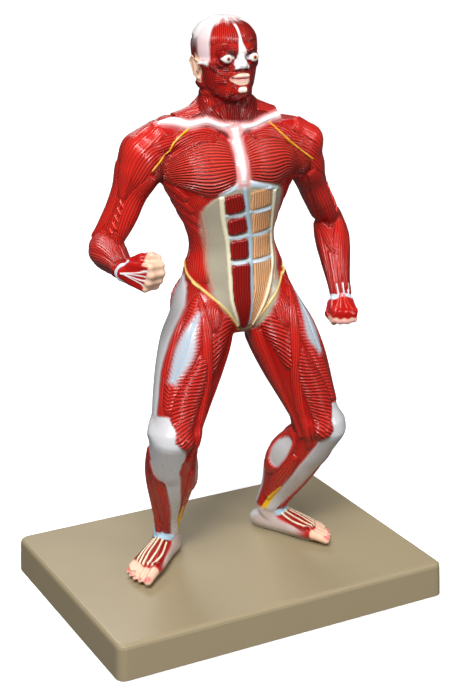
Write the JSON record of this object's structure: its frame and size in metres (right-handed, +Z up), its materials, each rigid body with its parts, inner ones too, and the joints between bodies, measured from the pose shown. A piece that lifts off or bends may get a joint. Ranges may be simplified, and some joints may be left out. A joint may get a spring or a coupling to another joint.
{
  "type": "muscle anatomy figure on a stand",
  "caption": "Painted muscular human anatomy figure in a wide stance with bent fists, screwed to a flat rectangular display stand for a desk or shelf.",
  "frame": {"origin": "middle of the stand's footprint, on the table surface under the rubber pads", "axes": "+Z up along the standing figure; +X along the stand's long side towards the figure's left; the figure faces -Y"},
  "size_m": [0.312, 0.225, 0.4997],
  "materials": {
    "tan_plastic": "smooth moulded, semi-matt",
    "black_rubber": "matt",
    "zinc_steel": "zinc plated",
    "zinc_washer": "zinc plated",
    "brass_insert": "plain turned brass",
    "painted_head": "hand painted and lacquered",
    "painted_torso": "hand painted and lacquered",
    "painted_right_arm": "hand painted and lacquered",
    "painted_left_arm": "hand painted and lacquered",
    "painted_right_leg": "hand painted and lacquered",
    "painted_left_leg": "hand painted and lacquered",
    "raw_pvc": "unpainted"
  },
  "bodies": {
    "root": {"stand_cover": "tan_plastic", "rubber_pad_front_right": "black_rubber", "rubber_pad_front_left": "black_rubber", "rubber_pad_back_right": "black_rubber", "rubber_pad_back_left": "black_rubber", "screw_right_heel": "zinc_steel", "washer_right_heel": "zinc_washer", "threaded_insert_right_heel": "brass_insert", "screw_right_ball": "zinc_steel", "washer_right_ball": "zinc_washer", "threaded_insert_right_ball": "brass_insert", "screw_left_heel": "zinc_steel", "washer_left_heel": "zinc_washer", "threaded_insert_left_heel": "brass_insert", "screw_left_ball": "zinc_steel", "washer_left_ball": "zinc_washer", "threaded_insert_left_ball": "brass_insert", "head_and_neck": "painted_head", "torso": "painted_torso", "right_arm": "painted_right_arm", "left_arm": "painted_left_arm", "right_leg": "painted_right_leg", "left_leg": "painted_left_leg", "neck_plug": "raw_pvc", "right_shoulder_plug": "raw_pvc", "right_hip_plug": "raw_pvc", "left_shoulder_plug": "raw_pvc", "left_hip_plug": "raw_pvc"}
  },
  "joints": []
}
